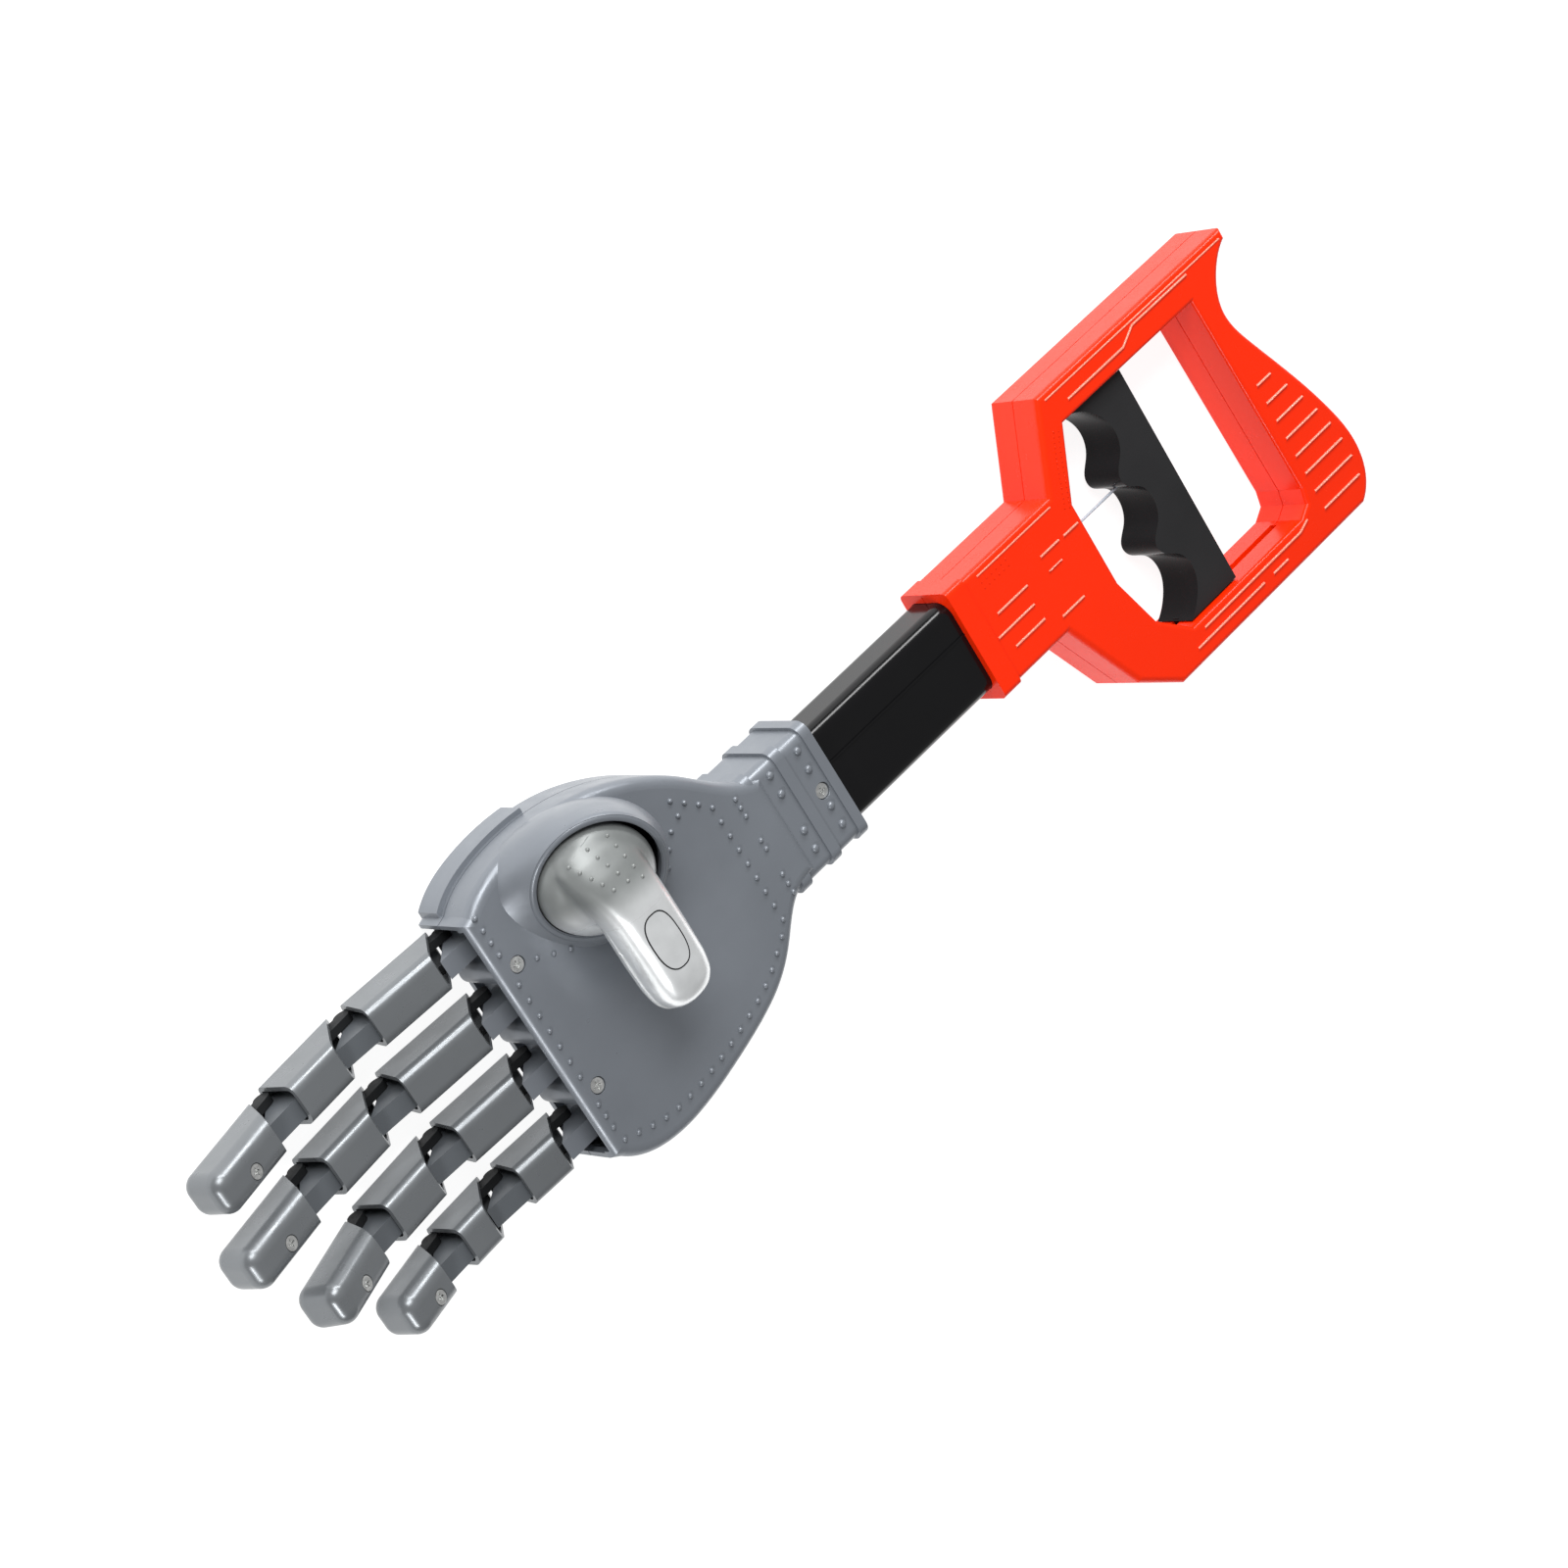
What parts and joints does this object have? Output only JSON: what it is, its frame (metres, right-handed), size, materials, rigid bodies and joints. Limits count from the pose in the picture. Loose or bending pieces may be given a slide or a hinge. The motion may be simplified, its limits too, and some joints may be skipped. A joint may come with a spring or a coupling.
{
  "type": "robot hand grabber",
  "caption": "Toy robot hand on a short arm: squeezing the finger grip in the D-shaped handle pulls a cord that curls four jointed fingers towards a thumb.",
  "frame": {"origin": "centre of the object's box, on the plane that it lies on, back of the hand down", "axes": "+X from the handle to the fingertips, +Y towards the little finger, +Z out of the palm"},
  "size_m": [0.429, 0.1059, 0.0514],
  "materials": {
    "orange_plastic": "semi-gloss injection-moulded orange-red plastic",
    "trigger_plastic": "matt black plastic",
    "tube_plastic": "gloss black plastic",
    "hand_plastic": "blue-grey metallic-flake plastic, satin",
    "finger_plastic": "grey metallic-flake plastic, satin",
    "link_plastic": "dark grey plastic",
    "inner_plastic": "natural acetal",
    "thumb_silver": "silver metallic-flake plastic, satin",
    "thumb_grey": "grey plastic",
    "cord_nylon": "clear nylon monofilament",
    "brass_ferrule": "crimped brass",
    "steel": "zinc-plated steel"
  },
  "bodies": {
    "frame": {"handle_front_shell": "orange_plastic", "handle_back_shell": "orange_plastic", "handle_screws": "steel", "arm_tube": "tube_plastic", "return_spring": "steel", "spring_seat": "inner_plastic", "cord_bushing": "inner_plastic", "palm_shell": "hand_plastic", "hand_back_shell": "hand_plastic", "finger_root_block": "hand_plastic", "palm_screws": "steel", "hand_back_screws": "steel", "wrist_screw": "steel", "knuckle_pins": "steel"},
    "trigger": {"trigger_grip": "trigger_plastic", "pull_cord": "cord_nylon", "cord_ferrule": "brass_ferrule", "cord_yoke": "inner_plastic"},
    "thumb": {"thumb_front": "thumb_silver", "thumb_back": "thumb_grey"},
    "index_proximal": {"index_proximal_shell": "finger_plastic", "index_proximal_link": "link_plastic", "index_middle_pin": "steel"},
    "index_middle": {"index_middle_shell": "finger_plastic", "index_middle_link": "link_plastic", "index_tip_pin": "steel"},
    "index_tip": {"index_tip_shell": "finger_plastic", "index_tip_link": "link_plastic", "index_tip_screw": "steel"},
    "middle_proximal": {"middle_proximal_shell": "finger_plastic", "middle_proximal_link": "link_plastic", "middle_middle_pin": "steel"},
    "middle_middle": {"middle_middle_shell": "finger_plastic", "middle_middle_link": "link_plastic", "middle_tip_pin": "steel"},
    "middle_tip": {"middle_tip_shell": "finger_plastic", "middle_tip_link": "link_plastic", "middle_tip_screw": "steel"},
    "ring_proximal": {"ring_proximal_shell": "finger_plastic", "ring_proximal_link": "link_plastic", "ring_middle_pin": "steel"},
    "ring_middle": {"ring_middle_shell": "finger_plastic", "ring_middle_link": "link_plastic", "ring_tip_pin": "steel"},
    "ring_tip": {"ring_tip_shell": "finger_plastic", "ring_tip_link": "link_plastic", "ring_tip_screw": "steel"},
    "pinky_proximal": {"pinky_proximal_shell": "finger_plastic", "pinky_proximal_link": "link_plastic", "pinky_middle_pin": "steel"},
    "pinky_middle": {"pinky_middle_shell": "finger_plastic", "pinky_middle_link": "link_plastic", "pinky_tip_pin": "steel"},
    "pinky_tip": {"pinky_tip_shell": "finger_plastic", "pinky_tip_link": "link_plastic", "pinky_tip_screw": "steel"}
  },
  "joints": [
    {"name": "trigger_slide", "type": "slide", "parent": "frame", "child": "trigger", "axis": [-1, 0, 0], "range_m": [0, 0.026], "stiffness_N_per_m": 200, "springref_m": -0.02},
    {"name": "thumb_swivel", "type": "hinge", "parent": "frame", "child": "thumb", "pos_m": [0.07825, -0.03295, 0.0346], "axis": [0.4009, 0.3107, 0.8619], "range_deg": [-30, 30]},
    {"name": "index_knuckle", "type": "hinge", "parent": "frame", "child": "index_proximal", "pos_m": [0.11075, -0.03665, 0.007], "axis": [0, -1, 0], "range_deg": [0, 36]},
    {"name": "index_middle_joint", "type": "hinge", "parent": "index_proximal", "child": "index_middle", "pos_m": [0.14492, -0.03665, 0.00401], "axis": [0, -1, 0], "range_deg": [0, 38]},
    {"name": "index_tip_joint", "type": "hinge", "parent": "index_middle", "child": "index_tip", "pos_m": [0.17658, -0.03665, 0.0079], "axis": [0, -1, 0], "range_deg": [0, 40]},
    {"name": "middle_knuckle", "type": "hinge", "parent": "frame", "child": "middle_proximal", "pos_m": [0.11075, -0.01665, 0.007], "axis": [0, -1, 0], "range_deg": [0, 36]},
    {"name": "middle_middle_joint", "type": "hinge", "parent": "middle_proximal", "child": "middle_middle", "pos_m": [0.14741, -0.01665, 0.00379], "axis": [0, -1, 0], "range_deg": [0, 38]},
    {"name": "middle_tip_joint", "type": "hinge", "parent": "middle_middle", "child": "middle_tip", "pos_m": [0.18009, -0.01665, 0.00839], "axis": [0, -1, 0], "range_deg": [0, 40]},
    {"name": "ring_knuckle", "type": "hinge", "parent": "frame", "child": "ring_proximal", "pos_m": [0.11075, 0.00335, 0.007], "axis": [0, -1, 0], "range_deg": [0, 36]},
    {"name": "ring_middle_joint", "type": "hinge", "parent": "ring_proximal", "child": "ring_middle", "pos_m": [0.14307, 0.00335, 0.00474], "axis": [0, -1, 0], "range_deg": [0, 38]},
    {"name": "ring_tip_joint", "type": "hinge", "parent": "ring_middle", "child": "ring_tip", "pos_m": [0.17468, 0.00335, 0.00975], "axis": [0, -1, 0], "range_deg": [0, 32]},
    {"name": "pinky_knuckle", "type": "hinge", "parent": "frame", "child": "pinky_proximal", "pos_m": [0.11075, 0.02335, 0.007], "axis": [0, -1, 0], "range_deg": [0, 36]},
    {"name": "pinky_middle_joint", "type": "hinge", "parent": "pinky_proximal", "child": "pinky_middle", "pos_m": [0.13589, 0.02335, 0.00524], "axis": [0, -1, 0], "range_deg": [0, 38]},
    {"name": "pinky_tip_joint", "type": "hinge", "parent": "pinky_middle", "child": "pinky_tip", "pos_m": [0.16089, 0.02335, 0.00743], "axis": [0, -1, 0], "range_deg": [0, 37]}
  ],
  "couplings": [
    {"joint": "index_knuckle", "follows": "trigger_slide", "rad_per_m": 24.166},
    {"joint": "index_middle_joint", "follows": "trigger_slide", "rad_per_m": 25.508},
    {"joint": "index_tip_joint", "follows": "trigger_slide", "rad_per_m": 26.851},
    {"joint": "middle_knuckle", "follows": "trigger_slide", "rad_per_m": 24.166},
    {"joint": "middle_middle_joint", "follows": "trigger_slide", "rad_per_m": 25.508},
    {"joint": "middle_tip_joint", "follows": "trigger_slide", "rad_per_m": 26.851},
    {"joint": "ring_knuckle", "follows": "trigger_slide", "rad_per_m": 24.166},
    {"joint": "ring_middle_joint", "follows": "trigger_slide", "rad_per_m": 25.508},
    {"joint": "ring_tip_joint", "follows": "trigger_slide", "rad_per_m": 21.48},
    {"joint": "pinky_knuckle", "follows": "trigger_slide", "rad_per_m": 24.166},
    {"joint": "pinky_middle_joint", "follows": "trigger_slide", "rad_per_m": 25.508},
    {"joint": "pinky_tip_joint", "follows": "trigger_slide", "rad_per_m": 24.837}
  ]
}
